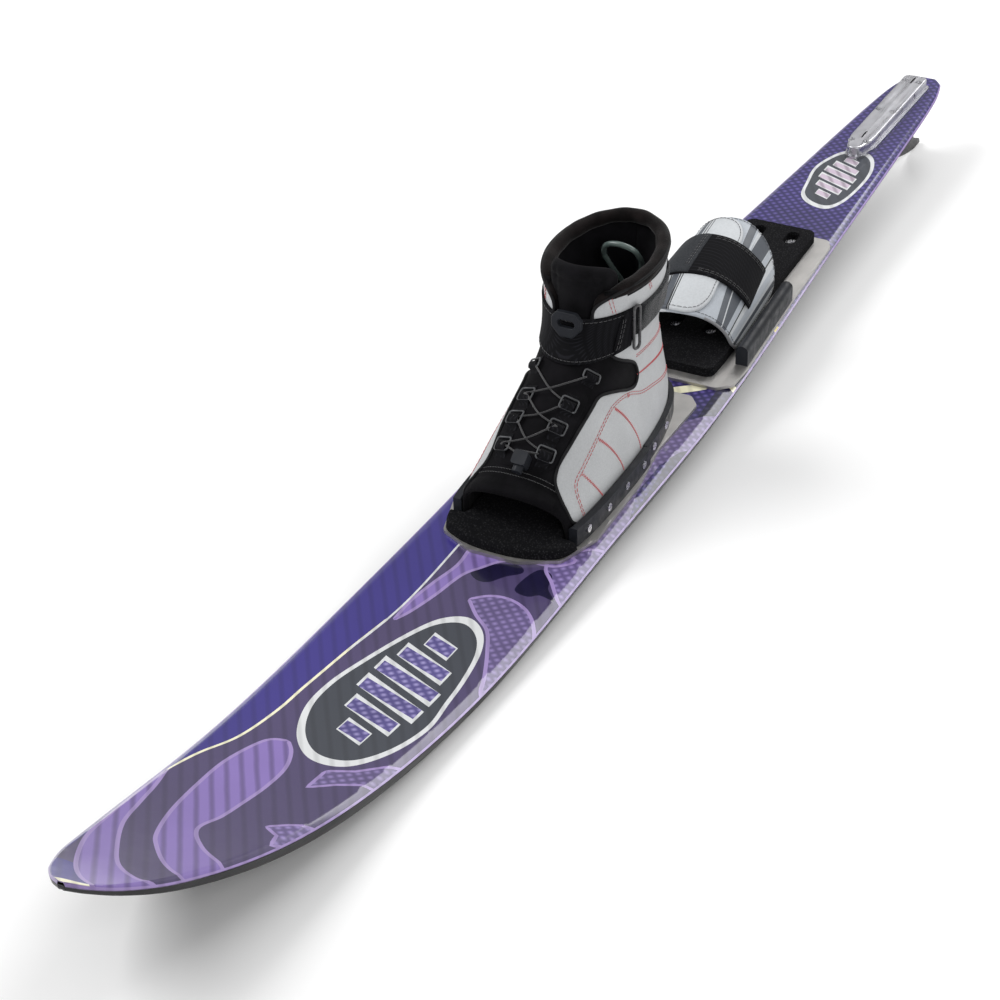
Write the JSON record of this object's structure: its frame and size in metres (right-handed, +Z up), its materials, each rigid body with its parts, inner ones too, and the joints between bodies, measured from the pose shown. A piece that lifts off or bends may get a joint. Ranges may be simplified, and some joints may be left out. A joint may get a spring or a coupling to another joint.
{
  "type": "slalom water ski",
  "caption": "Single slalom water ski with a laced front boot on a sliding plate, a strapped rear toe plate and an adjustable tail fin in a clamping block.",
  "frame": {"origin": "centre of the footprint box, at the height of the ground on which the fin tip and the rocker stand", "axes": "+X from the tail to the tip, +Y to the rider's left, +Z up with the ski standing on its fin tip and rocker, so that the deck is about 3 degrees nose-down"},
  "size_m": [1.6806, 0.1632, 0.2297],
  "materials": {
    "deck_gloss": "glossy printed laminate under clear resin",
    "ski_foam": "cut foam",
    "base_black": "satin black laminate",
    "brass_insert": "machined brass",
    "fin_alloy": "bead-blasted anodised aluminium",
    "fin_black": "black anodised",
    "screw_steel": "stainless steel",
    "plate_alloy": "satin aluminium",
    "footbed_foam": "textured closed-cell foam",
    "nylon_black": "moulded nylon",
    "neoprene": "knit-faced neoprene",
    "panel_white": "coated synthetic leather with red stitching",
    "strap_web": "hook and loop webbing",
    "ring_plastic": "moulded plastic",
    "lace_cord": "elastic cord",
    "loop_vinyl": "clear green vinyl tube",
    "overlay_print": "printed synthetic overlay with grey stripes",
    "bar_rubber": "moulded rubber"
  },
  "bodies": {
    "ski": {"top_laminate": "deck_gloss", "ski_core": "ski_foam", "base_laminate": "base_black", "binding_inserts": "brass_insert", "fin_inserts": "brass_insert", "fin_block_left": "fin_alloy", "fin_block_right": "fin_alloy", "fin_block_screws": "screw_steel", "fin_clamp_screws": "screw_steel", "fin_clamp_nuts": "screw_steel", "front_plate_screws": "screw_steel", "rear_plate_screws": "screw_steel"},
    "fin": {"fin_blade": "fin_black"},
    "front_binding": {"front_plate": "plate_alloy", "front_footbed": "footbed_foam", "side_rail_left": "nylon_black", "side_rail_right": "nylon_black", "heel_frame": "nylon_black", "rail_screws": "screw_steel", "heel_frame_screws": "screw_steel", "boot_mount_screws": "screw_steel", "boot_lower": "neoprene", "foot_panel_left": "panel_white", "foot_panel_right": "panel_white", "lace_loops": "ring_plastic", "loop_tabs": "strap_web", "lace": "lace_cord", "cord_lock_body": "ring_plastic", "cord_lock_spring": "screw_steel"},
    "cuff": {"boot_cuff": "neoprene", "cuff_panel_left": "panel_white", "cuff_panel_right": "panel_white", "tongue": "neoprene", "ankle_strap": "strap_web", "strap_ring": "screw_steel", "upper_lace_loops": "ring_plastic"},
    "lock_button": {"cord_lock_button": "ring_plastic"},
    "lace_handle": {"lace_pull": "ring_plastic"},
    "heel_loop": {"heel_pull_loop": "loop_vinyl"},
    "rear_binding": {"rear_plate": "plate_alloy", "rear_footbed": "footbed_foam", "side_bar_left": "bar_rubber", "side_bar_right": "bar_rubber", "side_bar_screws": "screw_steel", "toe_flap_left": "overlay_print", "toe_flap_right": "overlay_print", "toe_band": "strap_web"}
  },
  "joints": [
    {"name": "fin_slide", "type": "slide", "parent": "ski", "child": "fin", "axis": [0.9986, 0, -0.0531], "range_m": [-0.003, 0.003]},
    {"name": "front_binding_slide", "type": "slide", "parent": "ski", "child": "front_binding", "axis": [0.9986, 0, -0.0531], "range_m": [-0.006, 0.006]},
    {"name": "rear_binding_slide", "type": "slide", "parent": "ski", "child": "rear_binding", "axis": [0.9986, 0, -0.0531], "range_m": [-0.006, 0.006]},
    {"name": "ankle_flex", "type": "hinge", "parent": "front_binding", "child": "cuff", "pos_m": [-0.01421, 0, 0.12439], "axis": [0, 1, 0], "range_deg": [0, 2.5], "stiffness_Nm_per_rad": 6},
    {"name": "cord_lock_press", "type": "slide", "parent": "front_binding", "child": "lock_button", "axis": [-0.7615, 0, 0.6481], "range_m": [0, 0.004], "stiffness_N_per_m": 300, "springref_m": -0.002},
    {"name": "lace_handle_swing", "type": "hinge", "parent": "cuff", "child": "lace_handle", "pos_m": [0.0784, 0, 0.16854], "axis": [0, 1, 0], "range_deg": [0, 40], "stiffness_Nm_per_rad": 0.02, "springref_deg": -2.86},
    {"name": "heel_loop_swing", "type": "hinge", "parent": "cuff", "child": "heel_loop", "pos_m": [-0.05162, 0, 0.15542], "axis": [0, 1, 0], "range_deg": [-15, 25], "stiffness_Nm_per_rad": 0.05}
  ]
}
